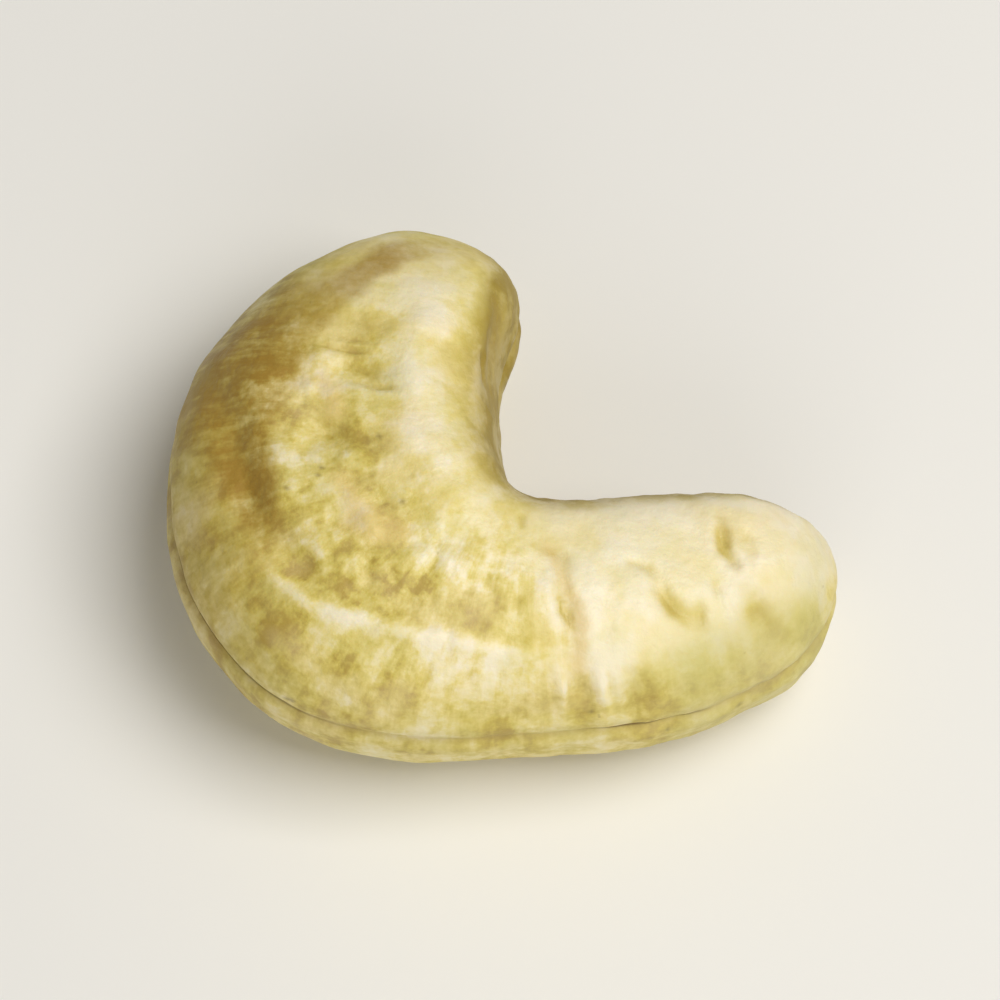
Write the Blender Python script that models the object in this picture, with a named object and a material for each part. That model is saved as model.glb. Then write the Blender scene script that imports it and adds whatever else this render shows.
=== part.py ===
"""A cashew kernel, out of its shell and lying on its side. Metres, +Z up.

The kernel grew as one piece: two thick seed leaves pressed together, curled like a comma.
A sphere is drawn out along a curled spine, which gives the smooth body. The seam between
the seed leaves, the fold along the rim, the creases and the dimples are then pressed in
along the surface's own normals, and three low pads are drawn down to the table.
"""

import math

import bmesh
import bpy
from mathutils import Vector, noise

MM = 0.001

# The mesh: segments round the body and along it
AROUND = 64
ALONG = 84
SEAM_CROWDING = 0.35

# The spine, walked from the thick end round the curl to the slim end
SPINE_LENGTH = 0.0349
SPINE_STEPS = 240
SPINE_START = Vector((-0.00308, 0.01208, 0.0))
START_HEADING = math.radians(255.5)
STEADY_TURN = math.radians(13.5)
CURL_TURN = math.radians(112)
CURL_FROM = 0.22
CURL_TO = 0.755
LEVELLING = 0.85

# How far the body reaches from the spine: share of the length, then metres
OUTER_REACH = (
    (0.0, 0.0026),
    (0.15, 0.0065),
    (0.30, 0.0085),
    (0.45, 0.00865),
    (0.60, 0.00525),
    (0.80, 0.0053),
    (1.0, 0.0038),
)
INNER_REACH = (
    (0.0, 0.0061),
    (0.15, 0.0046),
    (0.28, 0.0052),
    (0.40, 0.0054),
    (0.52, 0.0052),
    (0.66, 0.0049),
    (0.82, 0.00395),
    (1.0, 0.0017),
)
HALF_THICKNESS = (
    (0.0, 0.0052),
    (0.25, 0.0061),
    (0.45, 0.0063),
    (0.65, 0.0058),
    (0.85, 0.0052),
    (1.0, 0.0048),
)
THICK_END_CAP = 0.185
THICK_END_FULLNESS = 2.9
SLIM_END_CAP = 0.115
SLIM_END_FULLNESS = 2.06
OUTER_SQUARENESS = 2.35
INNER_SQUARENESS = 3.1

# The seam between the two seed leaves: outside of the curl, then inside
SEAM_TILT = math.radians(8)
OUTER_SEAM = (0.00022, 0.00032)
INNER_SEAM = (0.00042, 0.00060)
LIP_HEIGHT = 0.00008
LIP_OFFSET = 0.0009

# Slow waves and small bumps of the skin: size, then height
SLOW_WAVES = (0.0048, 0.00014)
SMALL_BUMPS = (0.0019, 0.00006)

# Folds, creases and dimples: face (1 top, -1 underside), depth and half width, then points, all in mm
FOLDS = (
    # the trough inside the rim, and the raised rim outside it
    (1, 0.75, 0.95, ((-11.4, 3.4), (-11.1, -0.4), (-10.6, -2.6), (-9.7, -4.3))),
    (1, 0.50, 0.85, ((-9.7, -4.3), (-8.4, -5.6), (-6.6, -6.7), (-4.4, -7.4))),
    (1, 0.30, 0.80, ((-4.4, -7.4), (-1.8, -7.9), (1.6, -8.2))),
    (1, -0.30, 0.75, ((-12.4, -0.8), (-11.9, -3.0), (-10.7, -5.1), (-8.9, -6.7))),
    (1, -0.24, 0.75, ((-8.9, -6.7), (-5.7, -8.3), (-2.0, -9.0), (1.8, -9.2))),
    # the crown along the inside of the curl
    (1, -0.30, 1.30, ((-3.8, 7.4), (-3.2, 3.9), (-3.5, 1.4), (-3.1, -0.6), (-1.6, -2.0), (0.4, -3.0))),
    # the hollow middle of the bend, between crown and rim
    (1, 0.42, 1.90, ((-7.6, 4.4), (-7.6, 0.8), (-6.3, -2.6))),
    (1, 0.28, 0.50, ((-4.4, 2.4), (-6.0, 2.9), (-7.8, 3.0))),
    (1, 0.26, 0.50, ((-8.2, 4.9), (-6.8, 4.7), (-5.0, 3.9))),
    # creases across the slim limb
    (1, 0.34, 0.48, ((2.6, -2.6), (2.7, -5.2), (3.2, -7.0), (3.4, -8.7), (3.9, -10.1))),
    (1, 0.28, 0.45, ((4.9, -7.4), (4.7, -8.9), (5.0, -10.2))),
    (1, 0.30, 0.42, ((5.6, -4.4), (6.5, -5.3))),
    (1, 0.34, 0.45, ((6.7, -5.8), (7.9, -7.0))),
    (1, 0.28, 0.45, ((8.4, -5.6), (9.2, -6.4))),
    (1, 0.32, 0.48, ((9.6, -6.7), (10.7, -7.8))),
    # the deep dimple near the slim end
    (1, 0.62, 0.65, ((9.1, -3.8), (9.6, -3.1))),
    # creases of the underside
    (-1, 0.30, 0.90, ((-12.2, 4.4), (-12.0, 0.2), (-11.0, -4.2), (-8.4, -7.8), (-4.4, -9.6))),
    (-1, 0.34, 0.75, ((0.8, -3.0), (1.4, -6.0), (1.2, -8.4))),
    (-1, 0.30, 0.60, ((4.4, -2.4), (5.0, -4.4))),
    (-1, 0.34, 0.75, ((-6.6, 2.0), (-3.6, 1.2))),
)

# The three pads that it lies on: centres, then the flat radius and the radius where a pad ends
PADS = ((-0.0043, 0.0072), (0.0084, -0.0041), (-0.0066, -0.0040))
PAD_FLAT = 0.0013
PAD_END = 0.0042


def smooth(x):
    """0 up to 0, 1 from 1 on, and an S-curve between."""
    x = min(max(x, 0.0), 1.0)
    return x * x * (3 - 2 * x)


def reach(stations, t):
    """The value at share t of the length, on a smooth curve through the stations."""
    last = len(stations) - 1
    i = next((k for k in range(last) if t <= stations[k + 1][0]), last - 1)
    (t0, v0), (t1, v1) = stations[i], stations[i + 1]
    before = stations[max(i - 1, 0)]
    after = stations[min(i + 2, last)]
    slope0 = (v1 - before[1]) / (t1 - before[0]) * (t1 - t0)
    slope1 = (after[1] - v0) / (after[0] - t0) * (t1 - t0)
    x = (t - t0) / (t1 - t0)
    rise = v1 - v0
    return v0 + x * (slope0 + x * (3 * rise - 2 * slope0 - slope1 + x * (slope0 + slope1 - 2 * rise)))


def heading(t):
    """The spine's direction over the table at share t of its length."""
    return START_HEADING + STEADY_TURN * t + CURL_TURN * smooth((t - CURL_FROM) / (CURL_TO - CURL_FROM))


def walk_spine():
    """Points along the spine, one for each step."""
    step = SPINE_LENGTH / SPINE_STEPS
    points = [SPINE_START]
    for i in range(SPINE_STEPS):
        turn = heading((i + 0.5) / SPINE_STEPS)
        points.append(points[-1] + step * Vector((math.cos(turn), math.sin(turn), 0)))
    return points


def on_body(spine, direction):
    """A unit sphere's point on the kernel, with its angle round the spine and its distance from it."""
    t = (1 - direction.z) / 2
    turn = math.atan2(direction.y, direction.x)
    angle = turn - SEAM_CROWDING * math.sin(2 * turn) / 2 + SEAM_TILT * (1 + math.cos(turn)) / 2
    c = math.cos(angle)
    s = math.sin(angle)
    side = reach(OUTER_REACH if c > 0 else INNER_REACH, t)
    high = reach(HALF_THICKNESS, t)
    power = OUTER_SQUARENESS if c > 0 else INNER_SQUARENESS
    section = (abs(c / side) ** power + abs(s / high) ** power) ** (-1 / power)
    thick_end = 1 - (1 - min(t / THICK_END_CAP, 1)) ** THICK_END_FULLNESS
    slim_end = 1 - (1 - min((1 - t) / SLIM_END_CAP, 1)) ** SLIM_END_FULLNESS
    out = section * math.sqrt(max(thick_end * slim_end, 0))
    at = min(t, 0.99999) * SPINE_STEPS
    middle = spine[int(at)].lerp(spine[int(at) + 1], at - int(at))
    drop = LEVELLING * (HALF_THICKNESS[2][1] - high)
    outward = Vector((math.sin(heading(t)), -math.cos(heading(t)), 0))
    return middle + out * c * outward + Vector((0, 0, out * s - drop)), angle, out


def seam_relief(angle, out):
    """The groove between the seed leaves, with a low lip on each side of it."""
    outside = math.cos(angle) > 0
    depth, half_width = OUTER_SEAM if outside else INNER_SEAM
    away = out * abs(math.sin(angle - SEAM_TILT if outside else angle))
    lips = LIP_HEIGHT * math.exp(-(((away - LIP_OFFSET) / 0.0005) ** 2))
    return lips - depth * math.exp(-((away / half_width) ** 2))


def distance_to(line, x, y):
    """How far a point lies from a line through several points, seen from above."""
    nearest = 1e9
    for (ax, ay), (bx, by) in zip(line, line[1:]):
        along = ((x - ax) * (bx - ax) + (y - ay) * (by - ay)) / ((bx - ax) ** 2 + (by - ay) ** 2)
        along = min(max(along, 0), 1)
        nearest = min(nearest, math.hypot(ax + along * (bx - ax) - x, ay + along * (by - ay) - y))
    return nearest


def fold_relief(place, facing):
    """What the folds, creases and dimples add to the height of the skin at a place."""
    total = 0.0
    for face, depth, half_width, line in FOLDS:
        share = smooth(0.2 + 1.6 * facing.z * face)
        if share > 0:
            away = distance_to(line, place.x / MM, place.y / MM)
            total -= share * depth * MM * math.exp(-((away / half_width) ** 2))
    return total


def skin_relief(place):
    """Slow waves and small bumps."""
    total = 0.0
    for size, height in (SLOW_WAVES, SMALL_BUMPS):
        total += height * noise.noise(place / size)
    return total


def press_pads(verts):
    """Draws the underside down to one level in three round pads."""
    floor = min(vert.co.z for vert in verts)
    for vert in verts:
        if vert.normal.z < -0.3:
            away = min(math.dist(vert.co[:2], pad) for pad in PADS)
            vert.co.z += (floor - vert.co.z) * smooth((PAD_END - away) / (PAD_END - PAD_FLAT))


def build_kernel():
    """The whole kernel as one mesh, standing on z = 0 with the middle of its box over the origin."""
    bm = bmesh.new()
    bmesh.ops.create_uvsphere(bm, u_segments=AROUND, v_segments=ALONG, radius=1)
    spine = walk_spine()
    round_spine = []
    for vert in bm.verts:
        vert.co, angle, out = on_body(spine, vert.co.copy())
        round_spine.append((angle, out))
    bmesh.ops.recalc_face_normals(bm, faces=bm.faces)
    bm.normal_update()
    lift = [
        seam_relief(angle, out) + fold_relief(vert.co, vert.normal) + skin_relief(vert.co)
        for vert, (angle, out) in zip(bm.verts, round_spine)
    ]
    for vert, height in zip(bm.verts, lift):
        vert.co += height * vert.normal
    bm.normal_update()
    press_pads(bm.verts)
    low = [min(vert.co[axis] for vert in bm.verts) for axis in range(3)]
    high = [max(vert.co[axis] for vert in bm.verts) for axis in range(3)]
    middle = Vector(((low[0] + high[0]) / 2, (low[1] + high[1]) / 2, low[2]))
    bmesh.ops.translate(bm, verts=bm.verts, vec=-middle)
    for face in bm.faces:
        face.smooth = True
    mesh = bpy.data.meshes.new("cashew_kernel")
    bm.to_mesh(mesh)
    bm.free()
    return mesh


def main():
    for old in list(bpy.data.objects):
        bpy.data.objects.remove(old)
    skin = bpy.data.materials.new("kernel")
    skin.use_nodes = True
    shader = skin.node_tree.nodes["Principled BSDF"]
    shader.inputs["Base Color"].default_value = (0.80, 0.68, 0.38, 1)
    shader.inputs["Roughness"].default_value = 0.5
    kernel = bpy.data.objects.new("cashew_kernel", build_kernel())
    kernel.data.materials.append(skin)
    home = bpy.data.collections.new("cashew kernel")
    bpy.context.scene.collection.children.link(home)
    home.objects.link(kernel)


main()
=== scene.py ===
# %% [markdown]
# # A cashew kernel
#
# This lesson dresses one cashew kernel, the pale curled nut that is left when the shell and
# the papery skin are off. It grew as one piece: two thick seed leaves pressed together and
# bent like a comma. The CAD model gives its size and place. The kernel could be sculpted by
# hand, or made from joined tubes, but a sphere that is drawn out along a curled spine has no
# joins, keeps even faces and can be changed by a few numbers, so that is the way taken here.

# %% Load the frame
import math

import bmesh
import bpy
import numpy as np
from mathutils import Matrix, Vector, noise


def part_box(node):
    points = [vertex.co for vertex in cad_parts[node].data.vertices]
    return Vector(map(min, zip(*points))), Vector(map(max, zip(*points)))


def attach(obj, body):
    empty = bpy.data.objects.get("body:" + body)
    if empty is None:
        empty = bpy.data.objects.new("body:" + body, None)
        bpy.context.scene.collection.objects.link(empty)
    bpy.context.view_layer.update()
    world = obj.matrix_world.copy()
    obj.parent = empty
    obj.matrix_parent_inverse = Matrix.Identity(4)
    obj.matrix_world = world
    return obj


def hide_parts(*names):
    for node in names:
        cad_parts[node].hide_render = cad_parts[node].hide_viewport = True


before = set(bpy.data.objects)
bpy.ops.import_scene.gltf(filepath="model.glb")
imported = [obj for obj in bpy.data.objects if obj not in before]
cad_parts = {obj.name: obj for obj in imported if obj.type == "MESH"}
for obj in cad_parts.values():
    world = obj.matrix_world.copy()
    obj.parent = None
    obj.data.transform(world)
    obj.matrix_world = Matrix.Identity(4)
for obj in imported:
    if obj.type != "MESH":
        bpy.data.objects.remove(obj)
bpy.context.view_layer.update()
solid_low, solid_high = (np.array(corner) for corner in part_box("cashew_kernel"))
print("the solid measures", np.round((solid_high - solid_low) * 1000, 1), "mm")

# %% [markdown]
# ## The curled spine
#
# Everything on a kernel follows its curl, so the first thing is a spine: a line that starts
# at the thick end, runs down, turns through about 125 degrees and ends at the slim end. It
# could be a Bezier curve. A heading that turns smoothly is easier to tune, because the bend
# then has no kink anywhere, and walking along it in small steps gives the points.

# %% The spine
MM = 0.001
SPINE_LENGTH = 34.9 * MM
SPINE_STEPS = 240
SPINE_START = (-3.08 * MM, 12.08 * MM)
FIRST_HEADING = 255.5  # degrees, nearly straight down as seen from above
SLOW_TURN = 13.5  # degrees, spread over the whole length
BEND_TURN = 112  # degrees, from one end of the bend to the other
BEND_FROM, BEND_TO = 0.22, 0.755  # as shares of the length


def smooth(x):
    """0 up to 0, 1 from 1 on, and an S-curve between."""
    x = np.clip(x, 0, 1)
    return x * x * (3 - 2 * x)


def heading(t):
    """The spine's direction over the table, in radians, at share t of its length."""
    bent = smooth((t - BEND_FROM) / (BEND_TO - BEND_FROM))
    return np.radians(FIRST_HEADING + SLOW_TURN * t + BEND_TURN * bent)


steps = (np.arange(SPINE_STEPS) + 0.5) / SPINE_STEPS
walk = np.stack([np.cos(heading(steps)), np.sin(heading(steps))], axis=1) * SPINE_LENGTH / SPINE_STEPS
spine = np.vstack([[0, 0], np.cumsum(walk, axis=0)]) + SPINE_START
print("the spine ends at", np.round(spine[-1] / MM, 1), "mm")

# %% [markdown]
# ## The body
#
# A kernel isn't a round tube. It reaches further to the outside of the curl than to the
# inside, its inner wall is steep and its outer side is rounded, and it is thickest at the
# bend. A few stations along the spine hold these widths, and a smooth curve through them
# gives the rest. The mesh is Blender's own UV sphere: each ring of it becomes one section.

# %% Widths along the spine
OUTER_REACH = ((0, 2.6), (0.15, 6.5), (0.30, 8.5), (0.45, 8.65), (0.60, 5.25), (0.80, 5.3), (1, 3.8))
INNER_REACH = (
    (0, 6.1), (0.15, 4.6), (0.28, 5.2), (0.40, 5.4), (0.52, 5.2), (0.66, 4.9), (0.82, 3.95), (1, 1.7),
)
HALF_THICKNESS = ((0, 5.2), (0.25, 6.1), (0.45, 6.3), (0.65, 5.8), (0.85, 5.2), (1, 4.8))


def reach(stations, t):
    """The width in metres at each share t, on a smooth curve through the stations."""
    at, width = np.array(stations, float).T
    before = np.maximum(np.arange(len(at)) - 1, 0)
    after = np.minimum(np.arange(len(at)) + 1, len(at) - 1)
    slope = (width[after] - width[before]) / (at[after] - at[before])
    i = np.clip(np.searchsorted(at, t, side="left") - 1, 0, len(at) - 2)
    step = at[i + 1] - at[i]
    x = (t - at[i]) / step
    rise = width[i + 1] - width[i]
    slope0, slope1 = slope[i] * step, slope[i + 1] * step
    bend = 3 * rise - 2 * slope0 - slope1 + x * (slope0 + slope1 - 2 * rise)
    return (width[i] + x * (slope0 + x * bend)) * MM


print("at the bend it reaches", np.round(reach(OUTER_REACH, np.array([0.4])) / MM, 1), "mm outwards")

# %% A sphere, and the place of each of its points on the kernel
AROUND = 256
ALONG = 370
CROWDING = 0.35  # how much closer the rings lie at the bend than at the ends
SEAM_CROWDING = 0.35  # the same for the points of a ring, at the seam
SEAM_TILT = math.radians(8)

bm = bmesh.new()
bmesh.ops.create_uvsphere(bm, u_segments=AROUND, v_segments=ALONG, radius=1)
ball = np.array([vert.co for vert in bm.verts])

t = (1 - ball[:, 2]) / 2
t += CROWDING * np.sin(2 * np.pi * t) / (2 * np.pi)
turn = np.arctan2(ball[:, 1], ball[:, 0])
angle = turn - SEAM_CROWDING * np.sin(2 * turn) / 2 + SEAM_TILT * (1 + np.cos(turn)) / 2
across, upward = np.cos(angle), np.sin(angle)
outside = across > 0
print(len(ball), "points")

# %% From sphere to kernel
OUTER_BOXINESS = 2.35  # 2 is an ellipse, and more fills its corners
INNER_BOXINESS = 3.1
THICK_CAP, THICK_CAP_POWER = 0.185, 2.9  # share of the length that the rounded end takes
SLIM_CAP, SLIM_CAP_POWER = 0.115, 2.06
LOWERED = 0.85  # share of the missing thickness by which the thinner parts lie lower
THICKEST_AT = 0.45

side = np.where(outside, reach(OUTER_REACH, t), reach(INNER_REACH, t))
high = reach(HALF_THICKNESS, t)
power = np.where(outside, OUTER_BOXINESS, INNER_BOXINESS)
section = (np.abs(across / side) ** power + np.abs(upward / high) ** power) ** (-1 / power)
thick_end = 1 - (1 - np.minimum(t / THICK_CAP, 1)) ** THICK_CAP_POWER
slim_end = 1 - (1 - np.minimum((1 - t) / SLIM_CAP, 1)) ** SLIM_CAP_POWER
out = section * np.sqrt(np.clip(thick_end * slim_end, 0, None))

spine_marks = np.arange(SPINE_STEPS + 1)
middle = np.stack([np.interp(t * SPINE_STEPS, spine_marks, spine[:, k]) for k in (0, 1)], axis=1)
outward = np.stack([np.sin(heading(t)), -np.cos(heading(t))], axis=1)
body = np.empty_like(ball)
body[:, :2] = middle + (out * across)[:, None] * outward
body[:, 2] = out * upward - LOWERED * (reach(HALF_THICKNESS, np.array([THICKEST_AT])) - high)
print("the body measures", np.round((body.max(0) - body.min(0)) / MM, 1), "mm")

# %% Put the points on the mesh and read which way the skin faces
kernel_mesh = bpy.data.meshes.new("cashew_kernel_skin")
bm.to_mesh(kernel_mesh)
bm.free()


def place_points(points):
    """Moves the mesh's points and gives the direction that the skin faces at each."""
    kernel_mesh.vertices.foreach_set("co", points.astype(np.float32).ravel())
    kernel_mesh.update()
    facing = np.empty(len(points) * 3, np.float32)
    kernel_mesh.vertices.foreach_get("normal", facing)
    return facing.reshape(-1, 3).astype(float)


facing = place_points(body)
if (facing * (body - body.mean(0))).sum() < 0:
    kernel_mesh.flip_normals()
facing = place_points(body)
top_side = smooth(0.2 + 1.6 * facing[:, 2])
underside = smooth(0.2 - 1.6 * facing[:, 2])
print("share of the skin that faces up:", round(float((facing[:, 2] > 0).mean()), 2))

# %% [markdown]
# ## A straightened kernel to draw on
#
# The fine streaks on the skin run across the curl, so a pattern on plain coordinates would
# cut through them. Here each point also gets a place on a straightened kernel: how far it is
# along the spine, and where it is round the spine. The shader reads this as an attribute.
# A UV map could do the same, but it would have a cut where the two sides of the map meet.

# %% Straight coordinates and noise fields
straight = np.stack([t * SPINE_LENGTH, out * across, out * upward], axis=1)


def field(points, size, seed=0.0):
    """Blender's own noise at each point, about -1 to 1, with lumps of the given size."""
    scaled = points / np.array(size) + seed
    return np.array([noise.noise(Vector(p)) for p in scaled.tolist()])


slow_waves = field(body, 4.8 * MM)
small_bumps = field(body, 1.9 * MM)
print("slow waves between", round(float(slow_waves.min()), 2), "and", round(float(slow_waves.max()), 2))

# %% [markdown]
# ## Trough, rim and creases
#
# Inside the rim of the top face lies a trough, with a thin raised line beside it, and short
# creases cross the slim end where the nut dried. Each is a line seen from above, and the
# skin sinks or rises by a bell curve of the distance to it. This is what a sculptor's crease
# brush does, but it can be repeated, and most lines fade out to nothing at their ends. The
# tables hold seventy of them, because such small marks make a nut look real.

# %% Lines of the trough, the rim, the crown and the inner edge
# Each line has its side (1 is the top), its half width, and then x, y and depth of each
# point, all in mm. A depth below zero is a raised line.
LINES = {
    "trough": (1, 0.85, (
        (-11.7, 4.6, 0.0), (-11.7, 3.0, 0.22), (-11.2, 1.0, 0.42), (-10.8, -0.8, 0.52),
        (-10.1, -2.7, 0.50), (-9.2, -4.1, 0.40), (-8.1, -5.3, 0.32), (-6.6, -6.3, 0.26),
        (-4.1, -6.9, 0.22), (-1.4, -7.4, 0.15), (1.6, -7.9, 0.0),
    )),
    "rim_left": (1, 0.60, (
        (-12.0, 2.2, 0.0), (-11.6, -0.2, -0.05), (-11.0, -2.6, -0.09), (-10.1, -4.5, -0.09),
        (-8.6, -6.1, 0.0),
    )),
    "rim": (1, 0.34, (
        (-10.3, -4.2, 0.0), (-9.3, -5.6, -0.10), (-8.3, -6.4, -0.15), (-6.8, -7.3, -0.17),
        (-4.8, -7.8, -0.17), (-2.4, -8.3, -0.14), (0.2, -8.8, -0.10), (2.3, -8.9, 0.0),
    )),
    "inner_edge": (1, 0.36, (
        (-0.3, 8.2, 0.0), (-0.6, 6.6, -0.08), (-0.9, 4.6, -0.13), (-1.2, 2.4, -0.12),
        (-0.9, 0.2, -0.07), (0.2, -1.2, 0.0),
    )),
    "crown": (1, 1.30, (
        (-3.2, 7.8, 0.0), (-3.3, 5.4, -0.20), (-3.4, 2.2, -0.24), (-3.0, 0.2, -0.26),
        (-1.6, -1.9, -0.22), (0.6, -3.1, 0.0),
    )),
    "crown_patch_a": (1, 0.75, (
        (-4.3, 7.8, 0.0), (-3.2, 7.3, -0.12), (-2.2, 6.9, -0.12), (-1.6, 6.8, 0.0),
    )),
    "crown_patch_d": (1, 0.75, (
        (-3.9, 6.2, 0.0), (-3.2, 5.9, -0.12), (-2.2, 5.6, -0.10), (-1.7, 5.5, 0.0),
    )),
    "crown_patch_b": (1, 0.60, (
        (-3.8, 5.2, 0.0), (-3.7, 4.4, -0.08), (-3.8, 3.2, -0.08), (-4.0, 2.4, 0.0),
    )),
    "crown_patch_c": (1, 0.70, (
        (-4.4, 1.8, 0.0), (-4.0, 0.8, -0.08), (-3.6, -0.4, -0.08), (-3.3, -1.0, 0.0),
    )),
    "edge_hollow": (1, 0.55, ((-1.9, 5.2, 0.0), (-2.2, 4.4, 0.12), (-2.0, 3.0, 0.12), (-2.0, 1.6, 0.0))),
    "wall_strip": (1, 0.42, (
        (-0.1, 8.2, 0.0), (0.0, 6.8, 0.30), (-0.1, 5.0, 0.32), (-0.3, 3.6, 0.26), (-0.4, 2.4, 0.0),
    )),
    "edge_nick": (1, 0.12, ((-0.8, 5.1, 0.0), (-0.75, 4.6, 0.20), (-0.65, 3.9, 0.16), (-0.7, 3.3, 0.0))),
}
print(len(LINES), "lines so far")

# %% Lines of the thick end and the bend
LINES |= {
    "lobe_hollow": (1, 0.75, ((-7.4, 6.0, 0.0), (-6.0, 5.7, 0.12), (-5.0, 5.3, 0.10), (-4.5, 5.0, 0.0))),
    "lobe_line_a": (1, 0.14, (
        (-8.2, 4.9, 0.0), (-7.0, 4.6, 0.18), (-6.0, 4.35, 0.18), (-5.3, 4.25, 0.0),
    )),
    "lobe_line_b": (1, 0.14, ((-7.6, 5.25, 0.0), (-6.4, 4.95, 0.12), (-5.2, 4.75, 0.0))),
    "hollow": (1, 1.90, ((-7.6, 5.4, 0.0), (-7.6, 3.4, 0.36), (-7.5, 0.6, 0.36), (-6.3, -2.8, 0.20))),
    "bend_shade_a": (1, 0.45, (
        (-7.1, 3.5, 0.0), (-6.2, 3.6, 0.16), (-5.2, 3.25, 0.22), (-4.3, 2.9, 0.0),
    )),
    "bend_step": (1, 0.16, ((-6.6, 3.1, 0.0), (-5.6, 2.85, 0.22), (-4.8, 2.65, 0.24), (-4.1, 2.55, 0.0))),
    "bend_step_edge": (1, 0.22, ((-6.3, 2.6, 0.0), (-5.3, 2.5, -0.06), (-4.4, 2.3, 0.0))),
    "bend_bump_a": (1, 0.38, ((-7.9, 4.6, 0.0), (-7.3, 4.2, -0.08), (-6.4, 3.95, 0.0))),
    "bend_bump_b": (1, 0.38, ((-7.4, 3.1, 0.0), (-7.0, 2.5, -0.10), (-6.8, 1.6, 0.0))),
    "bend_bump_c": (1, 0.22, ((-8.1, 3.2, 0.0), (-7.9, 2.7, -0.10), (-7.9, 2.1, 0.0))),
    "bend_shade_b": (1, 0.45, (
        (-8.4, 1.4, 0.0), (-7.2, 0.75, 0.14), (-6.0, 0.35, 0.15), (-4.8, -0.1, 0.10), (-4.3, -0.5, 0.0),
    )),
    "bend_ridge_a": (1, 0.28, ((-7.3, -0.2, 0.0), (-6.4, -0.5, -0.10), (-5.2, -0.6, 0.0))),
    "bend_shade_c": (1, 0.40, (
        (-6.6, -1.2, 0.0), (-5.4, -1.5, 0.08), (-4.6, -2.4, 0.08), (-4.2, -3.3, 0.0),
    )),
    "bend_ridge_b": (1, 0.42, (
        (-6.5, -1.6, 0.0), (-6.0, -2.5, -0.10), (-5.3, -3.3, -0.11), (-4.5, -3.8, 0.0),
    )),
    "bend_ridge_c": (1, 0.46, ((-6.2, -3.4, 0.0), (-5.2, -4.0, -0.09), (-4.0, -4.0, 0.0))),
    "bend_ridge_d": (1, 0.34, ((-2.3, -2.6, 0.0), (-2.4, -3.6, -0.09), (-2.4, -4.6, 0.0))),
    "bend_ridge_e": (1, 0.35, ((-1.1, -3.6, 0.0), (-1.0, -4.6, -0.07), (-0.9, -5.5, 0.0))),
    "under_ridges": (1, 0.26, ((-6.3, -4.5, 0.0), (-5.3, -4.6, 0.10), (-4.3, -4.7, 0.0))),
}
print(len(LINES), "lines so far")

# %% Lines of the shoulder and the outer band
LINES |= {
    "shoulder_crest": (1, 0.36, (
        (-4.4, -5.0, 0.0), (-3.2, -5.0, -0.08), (-1.6, -5.3, -0.09), (0.2, -5.4, 0.0),
    )),
    "shoulder_a": (1, 0.55, (
        (-9.2, -3.4, 0.0), (-8.8, -4.7, 0.14), (-7.9, -5.6, 0.12), (-6.8, -6.1, 0.0),
    )),
    "shoulder_b": (1, 0.24, ((-7.9, -4.3, 0.0), (-7.7, -5.1, 0.09), (-7.3, -5.9, 0.0))),
    "shoulder_c": (1, 0.22, ((-6.9, -4.3, 0.0), (-6.8, -5.3, 0.08), (-6.9, -6.3, 0.0))),
    "shoulder_d": (1, 0.30, ((-5.5, -4.9, 0.0), (-5.3, -5.8, 0.17), (-5.6, -6.6, 0.05))),
    "shoulder_j": (1, 0.20, ((-4.4, -5.0, 0.0), (-4.3, -5.9, 0.12), (-4.5, -6.7, 0.0))),
    "shoulder_k": (1, 0.16, ((-6.2, -4.9, 0.0), (-6.2, -5.7, 0.10), (-6.4, -6.4, 0.0))),
    "shoulder_l": (1, 0.18, ((0.9, -5.7, 0.0), (0.8, -6.6, 0.10), (0.7, -7.4, 0.0))),
    "shoulder_e": (1, 0.16, ((-2.5, -4.7, 0.0), (-2.7, -5.3, 0.16), (-3.1, -5.7, 0.0))),
    "shoulder_f": (1, 0.40, ((-4.3, -6.9, 0.0), (-3.6, -7.0, 0.17), (-3.0, -7.1, 0.0))),
    "shoulder_g": (1, 0.18, ((-2.6, -6.2, 0.0), (-2.75, -6.9, 0.14), (-2.9, -7.4, 0.0))),
    "shoulder_h": (1, 0.24, (
        (-0.4, -5.1, 0.0), (-0.4, -6.0, 0.10), (-0.1, -7.0, 0.08), (0.1, -7.8, 0.0),
    )),
    "shoulder_i": (1, 0.30, ((-1.3, -7.6, 0.0), (-0.8, -7.8, 0.12), (-0.3, -7.8, 0.0))),
    "inner_nick": (1, 0.16, ((0.85, -2.6, 0.0), (0.85, -3.1, 0.12), (0.8, -3.5, 0.0))),
    "band_a": (1, 0.14, ((-5.9, -9.2, 0.0), (-6.0, -9.6, 0.08), (-6.0, -10.0, 0.0))),
    "band_b": (1, 0.20, ((-2.8, -8.9, 0.0), (-3.0, -9.5, 0.10), (-3.1, -10.1, 0.0))),
    "band_c": (1, 0.20, ((-1.2, -9.1, 0.0), (-1.25, -9.6, 0.08), (-1.3, -10.1, 0.0))),
    "band_d": (1, 0.14, ((-2.1, -7.7, 0.0), (-2.05, -8.3, 0.08), (-2.05, -8.9, 0.0))),
}
print(len(LINES), "lines so far")

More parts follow.
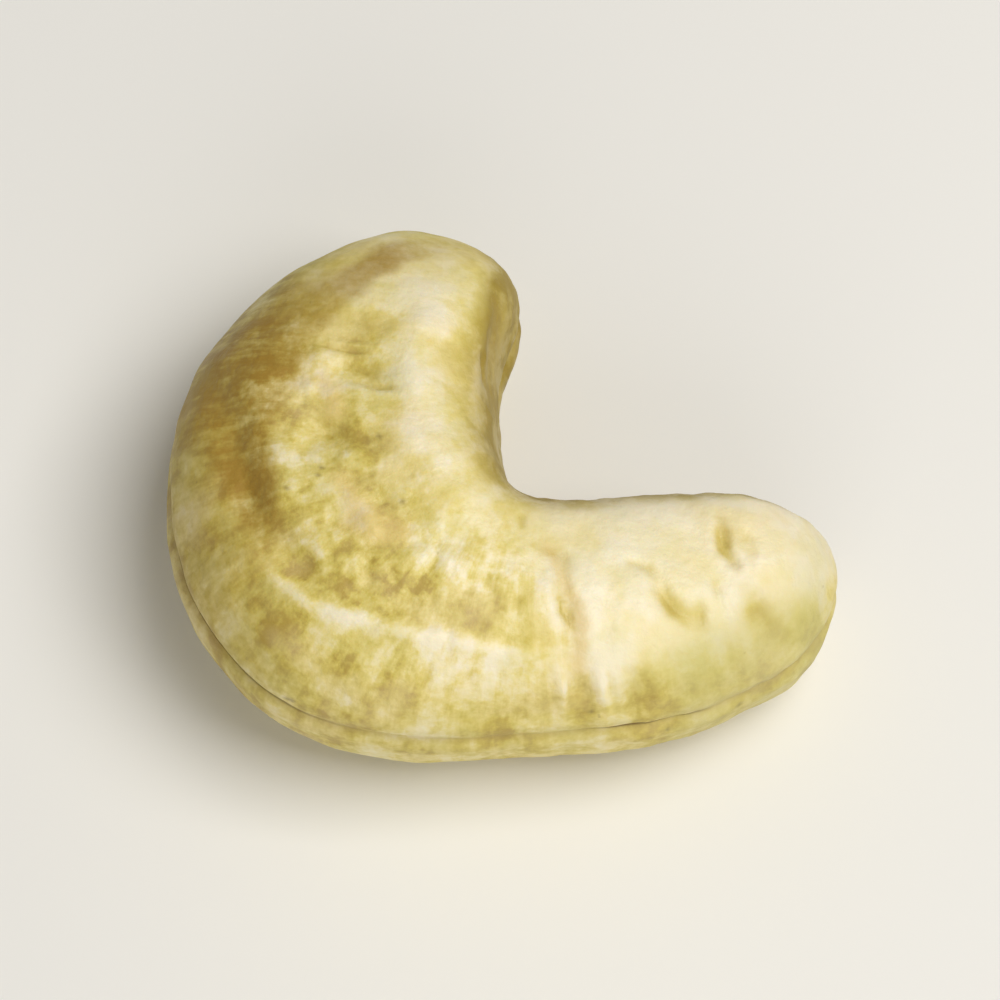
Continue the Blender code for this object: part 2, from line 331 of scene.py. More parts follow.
# %% Lines of the limb
LINES |= {
    "cross_crease": (1, 0.44, (
        (2.0, -3.2, 0.0), (2.5, -4.8, 0.08), (2.6, -6.4, 0.12), (3.1, -7.4, 0.12), (3.0, -8.7, 0.10),
        (3.4, -9.9, 0.06),
    )),
    "cross_slit": (1, 0.15, ((2.4, -6.3, 0.0), (2.55, -6.9, 0.20), (2.85, -7.4, 0.22), (3.1, -8.0, 0.0))),
    "cross_high": (1, 0.26, ((1.1, -4.0, 0.0), (1.8, -4.35, 0.08), (2.6, -4.7, 0.08), (2.8, -5.4, 0.0))),
    "low_ridge_a": (1, 0.18, ((2.2, -8.9, 0.0), (2.55, -9.7, -0.15), (2.8, -10.6, 0.0))),
    "low_fold_a": (1, 0.14, ((2.5, -9.1, 0.0), (2.85, -9.8, 0.14), (3.0, -10.5, 0.0))),
    "low_shade_a": (1, 0.42, ((3.3, -9.1, 0.0), (3.5, -9.8, 0.18), (3.6, -10.6, 0.10))),
    "low_ridge_b": (1, 0.22, ((3.8, -8.7, 0.0), (4.2, -9.5, -0.12), (4.5, -10.5, 0.0))),
    "low_fold_b": (1, 0.14, ((4.3, -9.0, 0.0), (4.55, -9.6, 0.12), (4.8, -10.4, 0.0))),
    "low_shade_b": (1, 0.60, ((4.8, -9.3, 0.0), (5.5, -9.7, 0.22), (6.4, -10.1, 0.05))),
    "hook": (1, 0.19, ((5.0, -4.6, 0.0), (5.6, -4.7, 0.19), (6.1, -4.95, 0.22), (6.7, -5.3, 0.0))),
    "limb_dent_a": (1, 0.36, (
        (6.3, -5.2, 0.06), (6.7, -6.0, 0.22), (7.2, -6.6, 0.26), (7.9, -7.0, 0.18), (8.5, -7.2, 0.0),
    )),
    "limb_dent_b": (1, 0.24, ((8.0, -6.1, 0.0), (8.3, -6.8, 0.16), (8.6, -7.5, 0.0))),
    "limb_dent_c": (1, 0.20, ((8.9, -4.9, 0.0), (8.9, -5.6, 0.12), (9.0, -6.2, 0.0))),
    "limb_dent_d": (1, 0.60, (
        (10.2, -5.7, 0.08), (10.6, -6.4, 0.20), (11.4, -6.9, 0.10), (12.2, -7.2, 0.0),
    )),
    "limb_ridge": (1, 0.15, ((9.1, -5.8, 0.0), (9.4, -6.4, -0.07), (9.7, -7.0, 0.0))),
    "dimple": (1, 0.26, (
        (9.15, -2.5, 0.04), (9.2, -3.1, 0.20), (9.25, -3.8, 0.24), (9.6, -4.4, 0.16), (10.0, -4.7, 0.0),
    )),
    "dimple_side": (1, 0.28, (
        (9.8, -2.9, 0.0), (10.2, -3.4, 0.14), (10.4, -4.0, 0.10), (10.2, -4.5, 0.0),
    )),
    "dimple_floor": (1, 0.50, ((9.4, -3.4, 0.10), (10.2, -3.6, 0.0))),
}
print(len(LINES), "lines so far")

# %% Lines of the underside
LINES |= {
    "under_trough": (-1, 0.90, (
        (-12.2, 4.4, 0.1), (-12.0, 0.2, 0.3), (-11.0, -4.2, 0.3), (-8.4, -7.8, 0.3), (-4.4, -9.6, 0.0),
    )),
    "under_crease_a": (-1, 0.60, ((0.8, -3.0, 0.05), (1.4, -6.0, 0.34), (1.2, -8.4, 0.0))),
    "under_crease_b": (-1, 0.50, ((4.4, -2.4, 0.0), (4.8, -3.6, 0.3), (5.0, -4.8, 0.0))),
    "under_crease_c": (-1, 0.60, ((-6.9, 2.1, 0.0), (-5.0, 1.6, 0.34), (-3.3, 1.1, 0.0))),
}
print(len(LINES), "lines in all")

# %% How far each point is from a line
def bell(distance, half_width):
    """1 on a line, falling smoothly to 0 about two half widths away."""
    return np.exp(-((distance / half_width) ** 2))


def near_line(points):
    """The distance to a line, in mm, seen from above, and its depth at the nearest place."""
    nearest, depth = np.full(len(body), 1e9), np.zeros(len(body))
    for a, b in zip(np.array(points), np.array(points)[1:]):
        step = b[:2] - a[:2]
        share = np.clip((plan - a[:2]) @ step / (step @ step), 0, 1)
        away = np.linalg.norm(plan - a[:2] - share[:, None] * step, axis=1)
        closer = away < nearest
        nearest[closer] = away[closer]
        depth[closer] = (a[2] + share * (b[2] - a[2]))[closer]
    return nearest, depth


def away_from(name):
    """The distance to one of the named lines, in mm."""
    return near_line(LINES[name][2])[0]


waver = np.stack([field(body, 1.4 * MM, 7.0), field(body, 1.4 * MM, 17.0)], axis=1)
fine_waver = np.stack([field(body, 0.45 * MM, 27.0), field(body, 0.45 * MM, 37.0)], axis=1)
plan = body[:, :2] / MM + 0.10 * waver + 0.06 * fine_waver
print("the trough is within 0.2 mm of", int((away_from("trough") < 0.2).sum()), "points")

# %% Sink the lines and remember where the creases are
FINE_LINE = 0.8  # only lines with a smaller half width, in mm, also change the colour: painted shade in their dents, painted highlight on their ridges
FULL_CREASE = 0.30  # a crease this deep, in mm, gets the full painted shade of a crease

line_relief = np.zeros(len(body))
fine_sunk = np.zeros(len(body))
unevenness = 1 + 0.5 * field(body, 2.2 * MM, 71.0)
for name, (face, half_width, points) in LINES.items():
    away, depth = near_line(points)
    sunk = (top_side if face > 0 else underside) * depth * bell(away, half_width) * unevenness
    line_relief -= sunk
    if half_width < FINE_LINE:
        fine_sunk += sunk
# painted shade in the creases and the dimple, darker where they are deeper
painted_dent_shade = np.clip(fine_sunk, 0, None) / FULL_CREASE
painted_dent_shade += 0.5 * top_side * bell(away_from("dimple"), 0.26)
print("the deepest place is", round(float(-line_relief.min()), 2), "mm deep")

# %% [markdown]
# ## The seam
#
# The two seed leaves meet in a seam that runs all the way round. It is a soft groove with
# low lips, and at its bottom a crack that opens and closes. On the inside of the curl the
# groove is wider and deeper. The distance to the seam also goes to the shader, which can
# draw the crack finer than the mesh's faces are.

# %% The seam all round
seam_away = out / MM * np.abs(np.where(outside, np.sin(angle - SEAM_TILT), np.sin(angle)))
seam_line = np.abs(seam_away + 0.10 * field(straight, 1.8 * MM, 3.0))
crack_open = smooth(0.55 + 1.6 * field(straight, 3.2 * MM, 5.0))
groove_depth = np.where(outside, 0.15, 0.34)
groove_width = np.where(outside, 0.42, 0.62)
seam_relief = (
    0.07 * bell(seam_away - 1.0, 0.5)  # the lips, 1 mm from the seam
    - groove_depth * bell(seam_line, groove_width)
    - 0.10 * crack_open * bell(seam_line, 0.15)
)
print("the crack is open along", round(float(crack_open[seam_line < 0.2].mean()), 2), "of the seam")

# %% [markdown]
# ## Bumps and fine wrinkles
#
# The hollow of the bend is lumpy and pitted, the shoulder above the trough is scalloped,
# the outer band is combed with shallow streaks, and the limb is puckered. Noise on the
# straightened kernel follows the curl, squeezed along the spine and stretched across it.
# Where such noise crosses zero it makes irregular lines, which serve as fine creases.
# Anything finer than a few tenths of a millimetre is left to the shader's bump.

# %% Places on the skin
def near(x, y, radius):
    """1 at a place seen from above, falling to 0 around it."""
    return bell(np.linalg.norm(body[:, :2] / MM - (x, y), axis=1), radius)


def spot(x, y, radius):
    """1 at a place on the top side, falling to 0 around it in all directions."""
    away = np.linalg.norm(body[:, :2] / MM - (x, y), axis=1) + 100 * (facing[:, 2] < 0)
    return bell(np.linalg.norm(body - body[away.argmin()], axis=1) / MM, radius)


print("the dimple covers", int((spot(9.6, -3.5, 0.8) > 0.5).sum()), "points")

# %% Where each kind of wrinkle lies
patches = smooth(0.5 + 1.5 * field(body, 2.6 * MM, 51.0))
outer_band = smooth((across - 0.55) / 0.3)
shoulder = top_side * bell(away_from("trough") - 1.6, 1.5) * (1 - outer_band)
limb = smooth((t - 0.58) / 0.10)
inner_wall = smooth((-across * section / side - 0.58) / 0.34)
bend_hollow = near(-7.6, 2.6, 3.2) + near(-7.3, -1.4, 2.8) + near(-4.6, -4.6, 2.6)
bend_hollow = top_side * np.clip(bend_hollow, 0, 1)
print("the hollow covers", round(float(bend_hollow.mean()), 2), "of the skin")

# %% Noise for the wrinkles and bumps, each of its own size and direction
streaks = field(straight, (0.40 * MM, 3.2 * MM, 3.2 * MM), 11.0)
broad_streaks = field(straight, (0.95 * MM, 5.0 * MM, 5.0 * MM), 23.0)
scallops = bell(field(straight, (1.5 * MM, 4.2 * MM, 4.2 * MM), 61.0), 0.11)
slanted = straight.copy()
slanted[:, 0] += 0.55 * straight[:, 1]  # so that the puckers of the limb run aslant
puckers = bell(field(slanted, (0.75 * MM, 3.0 * MM, 3.0 * MM), 31.0), 0.16)
lumps = field(body, 1.05 * MM, 41.0)
fine_lumps = field(body, 0.55 * MM, 43.0)
crinkles = bell(field(body, (2.0 * MM, 1.5 * MM, 2.0 * MM), 83.0), 0.10)
print("a scallop's line covers", round(float((scallops > 0.5).mean()), 2), "of the skin")

# %% Wrinkles and bumps, in mm
small_relief = (
    0.020 * streaks * outer_band * patches
    + broad_streaks * (0.015 + 0.035 * outer_band)
    - 0.080 * scallops * shoulder * (0.4 + 0.6 * patches)
    - 0.060 * puckers * limb * patches * (0.3 + 0.9 * near(5.6, -7.2, 1.8))
    - 0.050 * crinkles * bend_hollow * (0.3 + 0.7 * patches)
    + lumps * (0.022 + 0.050 * bend_hollow + 0.030 * limb)
    + fine_lumps * (0.010 + 0.024 * bend_hollow + 0.012 * limb + 0.025 * inner_wall)
)
print("small relief within", round(float(np.abs(small_relief).max()), 3), "mm")

# %% Raise and sink the skin, then press the three resting flats
PADS = ((-4.3, 7.2), (8.4, -4.1), (-6.6, -4.0))
PAD_FLAT = 1.3
PAD_END = 4.2

relief = 0.14 * slow_waves + 0.06 * small_bumps + line_relief + seam_relief + small_relief
skin = body + relief[:, None] * MM * facing
floor_level = skin[:, 2].min()
pad_away = np.min([np.linalg.norm(skin[:, :2] / MM - pad, axis=1) for pad in PADS], axis=0)
pressed = smooth((PAD_END - pad_away) / (PAD_END - PAD_FLAT)) * (facing[:, 2] < -0.3)
skin[:, 2] += (floor_level - skin[:, 2]) * pressed
print("points on the table:", int((skin[:, 2] < floor_level + 1e-7).sum()))

# %% [markdown]
# ## Into the solid's own box
#
# The solid has fewer faces than this skin and fewer lines, so its box differs by less than a
# tenth of a millimetre. The skin is moved and scaled by that little, so that it sits exactly
# where the solid is and rests on the same table.

# %% Fit the skin to the solid's box
skin_low, skin_high = skin.min(0), skin.max(0)
fit = (solid_high - solid_low) / (skin_high - skin_low)
skin = solid_low + (skin - skin_low) * fit
place_points(skin)
print("scaled by", np.round(fit, 4))

# %% [markdown]
# ## Masks for the colours
#
# A raw kernel is cream and olive, and brown in the open parts of the seam. Here the colour
# also holds painted light: the crowns, the rim and the ridges are paler as painted highlight,
# and the dents, creases, trough, the wall inside the curl and the low edge of the limb are
# darker as painted shade. Along its left side this one has a brown stain with a painted
# shadow over it. The shader can't know where those are, so each becomes a number on every
# point of the mesh. Painting them by hand would do as well, but the same lines that shape
# the skin also say where they are.

# %% Trough, crown, rim and left side as masks
trough_share = top_side * bell(away_from("trough"), 1.0)
crown_share = top_side * bell(away_from("crown"), 1.6)
rim_away, rim_depth = near_line(LINES["rim"][2])
rim_share = top_side * bell(rim_away, 0.34) * smooth(-rim_depth / 0.13)
left_side = smooth((-8.0 - body[:, 0] / MM) / 4.5)
thick_tip = smooth((0.22 - t) / 0.1)
low_limb = near_line(((6.0, -9.6, 0), (9.0, -8.9, 0), (11.0, -8.2, 0), (13.0, -6.4, 0)))[0]
print("the crown covers", round(float(crown_share.mean()), 2), "of the skin")

# %% How ripe each place is, with painted shade and painted highlight mixed in: 0 is cream, 1 is dark olive
DENT_SHADE = 1.9  # how much darker a dent is painted for each mm of its depth, as painted shade
RIDGE_HIGHLIGHT = 2.2  # how much paler a ridge is painted for each mm of its height, as painted highlight
RIPE_KNEE = 0.6  # above it the values rise half as fast, so that few places are very dark

# Besides the flesh's own cream and olive this holds painted light: painted shade in the dents, the
# trough, on the inner wall, along the limb's low edge and as a painted shadow on the left side, and
# painted highlight on the bumps, the raised streaks, the crown and the rim.
ripeness_and_painted_light = (
    0.45
    - 1.2 * small_relief * (1 + bend_hollow)
    + np.where(fine_sunk > 0, DENT_SHADE, RIDGE_HIGHLIGHT) * fine_sunk
    - (0.16 * streaks + 0.18 * broad_streaks) * outer_band
    + 0.10 * bend_hollow
    + 0.20 * trough_share
    + 0.20 * outer_band
    + 0.16 * inner_wall
    + 0.36 * left_side
    + 0.10 * thick_tip
    - 0.18 * crown_share
    - 0.34 * limb * top_side
    + 0.30 * limb * bell(low_limb, 0.9)
    - 0.26 * rim_share
)
ripeness_and_painted_light = np.where(ripeness_and_painted_light > RIPE_KNEE, RIPE_KNEE + 0.5 * (ripeness_and_painted_light - RIPE_KNEE), ripeness_and_painted_light)
print("ripeness is", round(float(ripeness_and_painted_light.mean()), 2), "on average")

# %% Where the skin is rugged and where it is combed
rugged = (
    0.40 + 0.60 * bend_hollow + 0.6 * shoulder + 0.30 * outer_band + 0.4 * inner_wall - 0.2 * left_side
)
rugged = np.clip(rugged, 0, 1)
combed = np.clip(0.10 + outer_band + 0.9 * shoulder, 0, 1) * (1 - 0.7 * limb) * (1 - 0.6 * rim_share)
print("rugged", round(float(rugged.mean()), 2), "and combed", round(float(combed.mean()), 2))

# %% A brown stain with a painted shadow over it: a line with a strength at each point, wider along the left
STAIN_AND_SHADOW_LINE = (
    (-3.0, 10.0, 0.3), (-4.5, 9.3, 0.9), (-5.4, 8.5, 1.0), (-6.3, 7.6, 0.9), (-7.6, 6.6, 0.65),
    (-9.3, 5.4, 0.75), (-10.6, 3.6, 0.85), (-10.9, 1.0, 0.85), (-10.6, -1.2, 0.8), (-10.1, -2.6, 0.75),
    (-9.5, -3.7, 0.4), (-8.8, -4.7, 0.0),
)
stain_and_shadow_away, stain_and_shadow_strength = near_line(STAIN_AND_SHADOW_LINE)
stain_and_shadow_width = 0.70 + 1.0 * smooth((-6.0 - body[:, 0] / MM) / 3.0) * smooth((body[:, 1] / MM + 3.0) / 6.0)
stain_and_shadow = stain_and_shadow_strength * smooth(1.6 - stain_and_shadow_away / stain_and_shadow_width + 0.35 * broad_streaks + 0.25 * lumps)
print("the stain covers", round(float((stain_and_shadow > 0.3).mean()), 2), "of the skin")

# %% A warm tint by the crease and on three ridges, a green band with painted shade along the limb's low edge, and specks
WARM_RIDGES = ("bend_ridge_b", "bend_ridge_c", "bend_bump_b")
SPECKS = (
    (3.85, -10.3, 0.12), (6.9, -10.1, 0.14), (10.1, -9.2, 0.14), (-8.8, -9.6, 0.13), (-8.5, -9.75, 0.14),
    (-7.3, -1.05, 0.12), (-7.5, -1.4, 0.11), (-4.05, -2.65, 0.13), (-5.0, 0.35, 0.13), (-8.9, -1.9, 0.12),
)
crease_side = near_line(((2.0, -4.4, 0), (2.9, -6.2, 0), (3.4, -7.6, 0), (3.2, -9.0, 0)))[0]
warm_ridges = sum(bell(away_from(name), 0.5) for name in WARM_RIDGES)
green_and_shade_band = near_line(((8.0, -8.8, 0), (10.6, -7.6, 0), (13.2, -6.0, 0)))[0]
specks = sum(spot(x, y, size) for x, y, size in SPECKS)
print(len(SPECKS), "specks")

# %% The masks go onto the mesh
marks = (
    ("ripeness_and_painted_light", ripeness_and_painted_light),
    ("combed", combed),
    ("rugged", rugged * (1 - 0.6 * limb * top_side * (1 - outer_band))),
    # a brown stain, and a painted shadow over the left side
    ("stain_and_shadow", smooth(facing[:, 2] + 0.5) * (0.9 * stain_and_shadow + 0.36 * left_side)),
    ("blush", top_side * np.clip(bell(crease_side, 0.32) + warm_ridges, 0, 1)),
    # a green tint with painted shade along the limb's low edge
    ("green_and_shade", bell(green_and_shade_band, 1.3) * smooth(facing[:, 2] + 0.9)),
    # the wall inside the curl: olive flesh with painted shade
    ("wall_and_shade", inner_wall + 0.75 * top_side * bell(away_from("wall_strip"), 0.42)),
    ("speck", specks),
    ("painted_dent_shade", painted_dent_shade),
    ("crack", crack_open),
)
for name, values in marks:
    mask = kernel_mesh.attributes.new(name, "FLOAT", "POINT")
    mask.data.foreach_set("value", np.clip(values, 0, 1).astype(np.float32))
    print(name, "covers", round(float(np.clip(values, 0, 1).mean()), 3))
distance = kernel_mesh.attributes.new("seam_away", "FLOAT", "POINT")
distance.data.foreach_set("value", seam_line.astype(np.float32))
unrolled = kernel_mesh.attributes.new("straight", "FLOAT_VECTOR", "POINT")
unrolled.data.foreach_set("vector", (straight / MM).astype(np.float32).ravel())

# %% The finished piece takes the place of the solid
kernel_mesh.polygons.foreach_set("use_smooth", np.ones(len(kernel_mesh.polygons), bool))
kernel = bpy.data.objects.new("kernel_skin", kernel_mesh)
bpy.context.scene.collection.objects.link(kernel)
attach(kernel, "root")
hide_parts("cashew_kernel")
print("kernel with", 2 * len(kernel_mesh.vertices) - 4, "triangles")

# %% [markdown]
# ## The nut's skin
#
# Raw nut flesh is matt and a little waxy, and light goes a short way into it. The colour is
# a ramp from cream to olive, driven by a mask that also holds painted shade and painted
# highlight, and by noise, with streaks across the curl. Thin washes of other colours lie
# over it: the stain with a painted shadow over the left side, the wall inside the curl with
# painted shade, painted shade in the creases, the seam, the specks and the pores. One flat
# colour would look like plastic. The patterns are node groups, so that each is made only
# once and is used where it is needed.

# %% Helpers for materials
def srgb(red, green_and_shade, blue):
    """A colour as a picture editor gives it, 0 to 255, as Blender's linear values."""
    share = np.array([red, green_and_shade, blue]) / 255
    linear = np.where(share <= 0.04045, share / 12.92, ((share + 0.055) / 1.055) ** 2.4)
    return (*linear.tolist(), 1.0)


def node(tree, kind, inputs=None, **settings):
    """Adds a shader node. inputs maps a socket to a value or to another node's socket."""
    made = tree.nodes.new("ShaderNode" + kind)
    for name, value in settings.items():
        setattr(made, name, value)
    for socket, value in (inputs or {}).items():
        if isinstance(value, bpy.types.NodeSocket):
            tree.links.new(value, made.inputs[socket])
        else:
            made.inputs[socket].default_value = value
    return made


def arithmetic(tree, operation, *values, clamp=False):
    """One step of arithmetic between values."""
    return node(tree, "Math", dict(enumerate(values)), operation=operation, use_clamp=clamp).outputs[0]


def ramp(tree, value, stops):
    """A colour ramp through (position, colour) stops."""
    made = node(tree, "ValToRGB", {"Fac": value})
    elements = made.color_ramp.elements
    while len(elements) < len(stops):
        elements.new(0.5)
    for element, (position, colour) in zip(elements, stops):
        element.position = position
        element.color = colour
    return made.outputs["Color"]


def tint(tree, share, base, colour):
    """Mixes a colour over another by a share from 0 to 1."""
    return node(tree, "Mix", {0: share, 6: base, 7: colour}, data_type="RGBA").outputs[2]


CREAM = srgb(246, 236, 206)
print("cream is", np.round(CREAM, 2))

# %% Two patterns as node groups
def new_group(name, inputs, output):
    """A shader node group with named inputs and one output, and its two end nodes."""
    group = bpy.data.node_groups.new(name, "ShaderNodeTree")
    for socket, kind in inputs.items():
        group.interface.new_socket(socket, in_out="INPUT", socket_type="NodeSocket" + kind)
    group.interface.new_socket(output, in_out="OUTPUT", socket_type="NodeSocketFloat")
    return group, group.nodes.new("NodeGroupInput").outputs, group.nodes.new("NodeGroupOutput").inputs


patchiness, given, result = new_group(
    "patchiness",
    {"Vector": "Vector", "Stretch": "Vector", "Scale": "Float", "Detail": "Float", "Softness": "Float",
     "Contrast": "Float"},
    "Amount",
)
moved = node(patchiness, "Mapping", {"Vector": given["Vector"], "Scale": given["Stretch"]}).outputs[0]
texture = node(patchiness, "TexNoise", {
    "Vector": moved, "Scale": given["Scale"], "Detail": given["Detail"], "Roughness": 0.6,
}).outputs["Fac"]
around_zero = node(patchiness, "MapRange", {
    "Value": texture, "From Min": arithmetic(patchiness, "SUBTRACT", 0.5, given["Softness"]),
    "From Max": arithmetic(patchiness, "ADD", 0.5, given["Softness"]), "To Min": -0.5, "To Max": 0.5,
}, interpolation_type="SMOOTHSTEP").outputs[0]
patchiness.links.new(arithmetic(patchiness, "MULTIPLY", around_zero, given["Contrast"]), result["Amount"])

spots, given, result = new_group(
    "spots", {"Vector": "Vector", "Scale": "Float", "Radius": "Float", "Share": "Float"}, "Mask",
)
cells = node(spots, "TexVoronoi", {"Vector": given["Vector"], "Scale": given["Scale"]})
inside = node(spots, "MapRange", {
    "Value": cells.outputs["Distance"], "From Min": given["Radius"],
    "From Max": arithmetic(spots, "MULTIPLY", given["Radius"], 0.4), "To Min": 0.0, "To Max": 1.0,
}).outputs[0]
lot = node(spots, "SeparateColor", {"Color": cells.outputs["Color"]}).outputs[0]
chosen = arithmetic(spots, "LESS_THAN", lot, given["Share"])
spots.links.new(arithmetic(spots, "MULTIPLY", inside, chosen), result["Mask"])
print("groups:", [group.name for group in bpy.data.node_groups])

# %% Patterns on the skin
nut_skin = bpy.data.materials.new("nut skin")
nut_skin.use_nodes = True
tree = nut_skin.node_tree
shader = tree.nodes["Principled BSDF"]
place = node(tree, "TexCoord").outputs["Object"]
straightened = node(tree, "Attribute", attribute_name="straight").outputs["Vector"]


def mask_of(name):
    """One of the mesh's masks, by its name."""
    return node(tree, "Attribute", attribute_name=name).outputs["Fac"]


def patchy(vector, scale, contrast, softness, detail=3.0, stretch=(1, 1, 1)):
    """Noise around 0 with lumps of 1/scale, made by the group. A low softness gives crisp patches."""
    made = node(tree, "Group", node_tree=patchiness)
    tree.links.new(vector, made.inputs["Vector"])
    values = {"Stretch": stretch, "Scale": scale, "Detail": detail}
    values |= {"Softness": softness, "Contrast": contrast}
    for socket, value in values.items():
        made.inputs[socket].default_value = value
    return made.outputs["Amount"]


def spotted(scale, radius, share):
    """Small round spots in a share of the cells of a pattern, made by the group."""
    made = node(tree, "Group", node_tree=spots)
    tree.links.new(place, made.inputs["Vector"])
    for socket, value in (("Scale", scale), ("Radius", radius), ("Share", share)):
        made.inputs[socket].default_value = value
    return made.outputs["Mask"]


mottling = patchy(place, 560, 0.38, 0.10, 4.0)
blotches = patchy(place, 300, 0.26, 0.12, 3.0)
streak_tone = patchy(straightened, 1.0, 0.29, 0.14, 3.0, (2.6, 0.32, 0.32))
grains = patchy(place, 2700, 0.55, 0.5, 3.0)
pores = spotted(760.0, 0.08, 0.05)
flecks = spotted(1500.0, 0.13, 0.05)
print("patterns for the skin are in", len(tree.nodes), "nodes")

# %% Colour
variation = arithmetic(tree, "ADD", mottling, grains)
variation = arithmetic(tree, "MULTIPLY", variation, mask_of("rugged"))
variation = arithmetic(tree, "MULTIPLY_ADD", streak_tone, mask_of("combed"), variation)
tone = arithmetic(tree, "ADD", mask_of("ripeness_and_painted_light"), variation)
tone = arithmetic(tree, "ADD", tone, blotches, clamp=True)
colour = ramp(tree, tone, (
    (0.0, CREAM),
    (0.25, srgb(241, 228, 178)),
    (0.50, srgb(229, 212, 132)),
    (0.75, srgb(211, 192, 94)),
    (1.0, srgb(184, 158, 72)),
))
print("the flesh has", len(tree.nodes), "nodes so far")

# %% Washes of other colours and of painted shade
def wash(base, mask, strength, colour):
    """Tints the places of a mask, at most by the given strength."""
    return tint(tree, arithmetic(tree, "MULTIPLY", mask, strength), base, srgb(*colour))


def uneven_wash(base, name, pattern, swing, strength, colour):
    """Tints the places of a mask, more and less strongly as a pattern says."""
    share = arithmetic(tree, "MULTIPLY_ADD", pattern, swing, strength)
    share = arithmetic(tree, "MULTIPLY", share, mask_of(name), clamp=True)
    return tint(tree, share, base, srgb(*colour))


hue_patches = patchy(place, 330, 0.55, 0.3, 2.0)
colour = tint(tree, arithmetic(tree, "MAXIMUM", hue_patches, 0.0), colour, srgb(242, 222, 180))
green_patches = arithmetic(tree, "MULTIPLY", hue_patches, -1.0)
colour = tint(tree, arithmetic(tree, "MAXIMUM", green_patches, 0.0), colour, srgb(212, 204, 134))
colour = wash(colour, mask_of("blush"), 0.55, (230, 202, 134))
# a green tint with painted shade along the limb's low edge
colour = wash(colour, mask_of("green_and_shade"), 0.55, (196, 190, 124))
# the wall inside the curl: olive flesh with painted shade
colour = uneven_wash(colour, "wall_and_shade", mottling, 0.8, 0.80, (156, 132, 38))
# a brown stain, and a painted shadow over the left side
colour = uneven_wash(colour, "stain_and_shadow", variation, 1.2, 0.85, (165, 131, 48))
# painted shade in the dents and creases
colour = uneven_wash(colour, "painted_dent_shade", mottling, 1.0, 0.40, (178, 152, 72))
print("the colour has", len(tree.nodes), "nodes so far")

# %% Seam, pores and flecks
seam_distance = mask_of("seam_away")
groove = node(tree, "MapRange", {"Value": seam_distance, "From Min": 0.45, "From Max": 0.0}).outputs[0]
colour = wash(colour, groove, 0.35, (186, 160, 92))
crack = node(tree, "MapRange", {"Value": seam_distance, "From Min": 0.11, "From Max": 0.03}).outputs[0]
crack_share = arithmetic(tree, "MULTIPLY", crack, mask_of("crack"))
colour = wash(colour, crack_share, 0.8, (112, 82, 44))
pore_share = arithmetic(tree, "MULTIPLY", pores, mask_of("rugged"))
colour = wash(colour, pore_share, 0.65, (120, 88, 44))
colour = wash(colour, flecks, 0.35, (150, 122, 60))
colour = wash(colour, mask_of("speck"), 0.50, (100, 76, 40))
tree.links.new(colour, shader.inputs["Base Color"])
print("the colour has", len(tree.nodes), "nodes")

# %% Sheen, glow and fine relief
gloss = node(tree, "MapRange", {
    "Value": mottling, "From Min": -0.3, "From Max": 0.3, "To Min": 0.42, "To Max": 0.60,
}).outputs[0]
tree.links.new(gloss, shader.inputs["Roughness"])
shader.inputs["Specular IOR Level"].default_value = 0.45
shader.inputs["Subsurface Weight"].default_value = 0.15
shader.inputs["Subsurface Radius"].default_value = (1.0, 0.66, 0.32)
shader.inputs["Subsurface Scale"].default_value = 0.0010

combing = patchy(straightened, 1.0, 0.22, 0.5, 2.0, (2.5, 0.7, 0.7))
pitting = patchy(place, 2600, 0.6, 0.5, 3.0)
height = arithmetic(tree, "ADD", combing, pitting)
height = arithmetic(tree, "ADD", height, arithmetic(tree, "MULTIPLY", mottling, 0.6))
height = arithmetic(tree, "SUBTRACT", height, arithmetic(tree, "MULTIPLY", pore_share, 0.8))
height = arithmetic(tree, "SUBTRACT", height, crack_share)
bump = node(tree, "Bump", {"Height": height, "Strength": 0.7, "Distance": 0.00009})
tree.links.new(bump.outputs[0], shader.inputs["Normal"])
kernel.data.materials.append(nut_skin)
print("nut skin has", len(tree.nodes), "nodes")

# %% [markdown]
# ## Floor, light and camera
#
# The kernel lies on a plain pale table. A big soft lamp high up on the right gives the shape
# its shading, a weaker one in front fills the shadows, and a pale warm sky keeps them open.
# The camera looks steeply down, because that is how the curl is seen best.

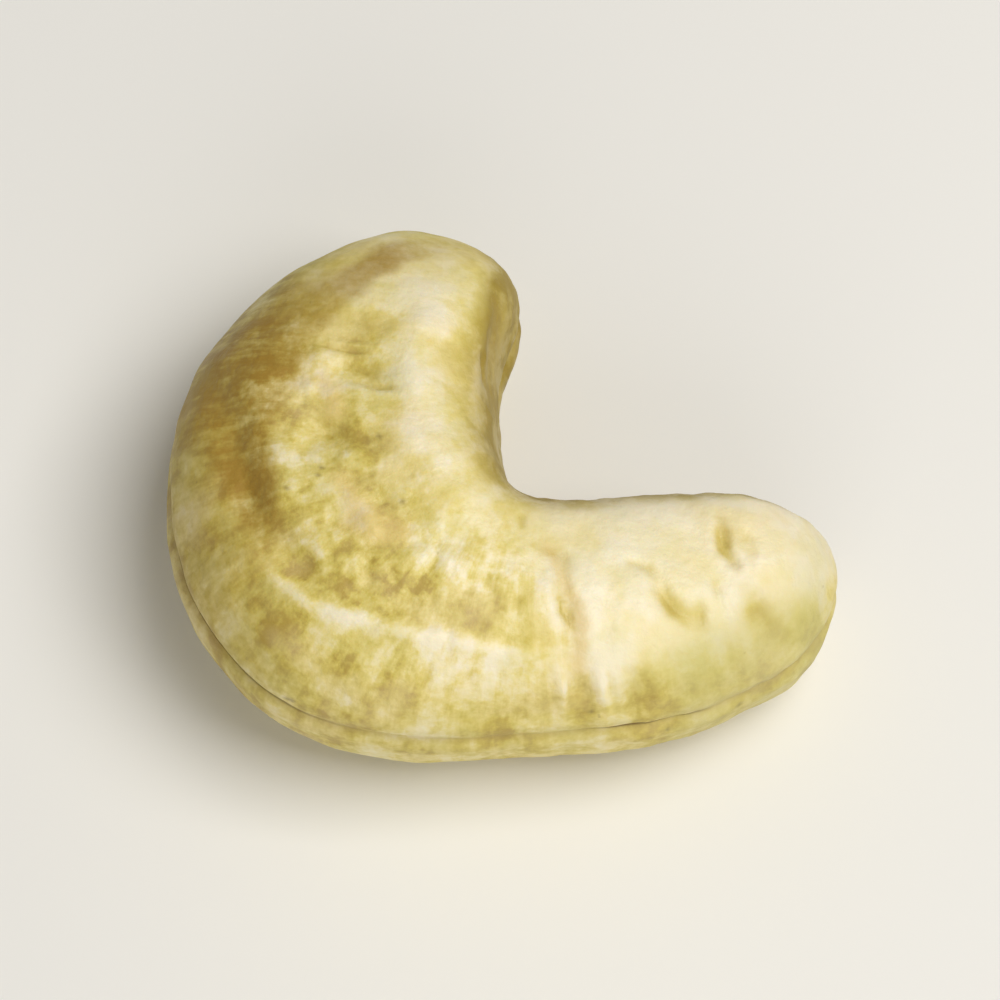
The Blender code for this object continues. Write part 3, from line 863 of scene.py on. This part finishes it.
# %% Table
bm = bmesh.new()
bmesh.ops.create_grid(bm, x_segments=1, y_segments=1, size=1.5)
table_mesh = bpy.data.meshes.new("table")
bm.to_mesh(table_mesh)
bm.free()
table = bpy.data.objects.new("table", table_mesh)
bpy.context.scene.collection.objects.link(table)
paper = bpy.data.materials.new("paper")
paper.use_nodes = True
paper_look = paper.node_tree.nodes["Principled BSDF"].inputs
paper_look["Base Color"].default_value = srgb(240, 239, 236)
paper_look["Roughness"].default_value = 0.9
table.data.materials.append(paper)
print("the table is", round(table.dimensions.x, 1), "m wide")

# %% Lamps and sky
LAMP_AIM = Vector((0, 0, 6 * MM))


def lamp(name, position, size, power, colour):
    """A square soft lamp that shines at the kernel."""
    light = bpy.data.lights.new(name, "AREA")
    light.size = size
    light.energy = power
    light.color = colour
    made = bpy.data.objects.new(name, light)
    made.location = position
    made.rotation_euler = (LAMP_AIM - made.location).to_track_quat("-Z", "Y").to_euler()
    bpy.context.scene.collection.objects.link(made)
    return made


lamp("key", (0.14, -0.03, 0.34), 0.22, 1.02, (1.0, 0.98, 0.94))
lamp("front", (0.02, -0.34, 0.18), 0.30, 0.34, (1.0, 0.99, 0.97))
sky = bpy.data.worlds.new("sky")
bpy.context.scene.world = sky
sky.use_nodes = True
sky_look = sky.node_tree.nodes["Background"].inputs
sky_look["Color"].default_value = (1.0, 0.97, 0.90, 1)
sky_look["Strength"].default_value = 0.22

# %% Camera
LOOK_DOWN = math.radians(68)
DISTANCE = 0.300
LENS = 257
aim = Vector((-0.08 * MM, -0.52 * MM, 6.33 * MM))
back = Vector((0, -math.cos(LOOK_DOWN), math.sin(LOOK_DOWN)))
eye = bpy.data.cameras.new("camera")
eye.lens = LENS
camera = bpy.data.objects.new("camera", eye)
camera.location = aim + back * DISTANCE
camera.rotation_mode = "QUATERNION"
camera.rotation_quaternion = (-back).to_track_quat("-Z", "Y")
bpy.context.scene.collection.objects.link(camera)
bpy.context.scene.camera = camera
bpy.context.scene.view_settings.view_transform = "Standard"
print("the picture is", round(eye.sensor_width / LENS * DISTANCE / MM, 1), "mm wide at the kernel")
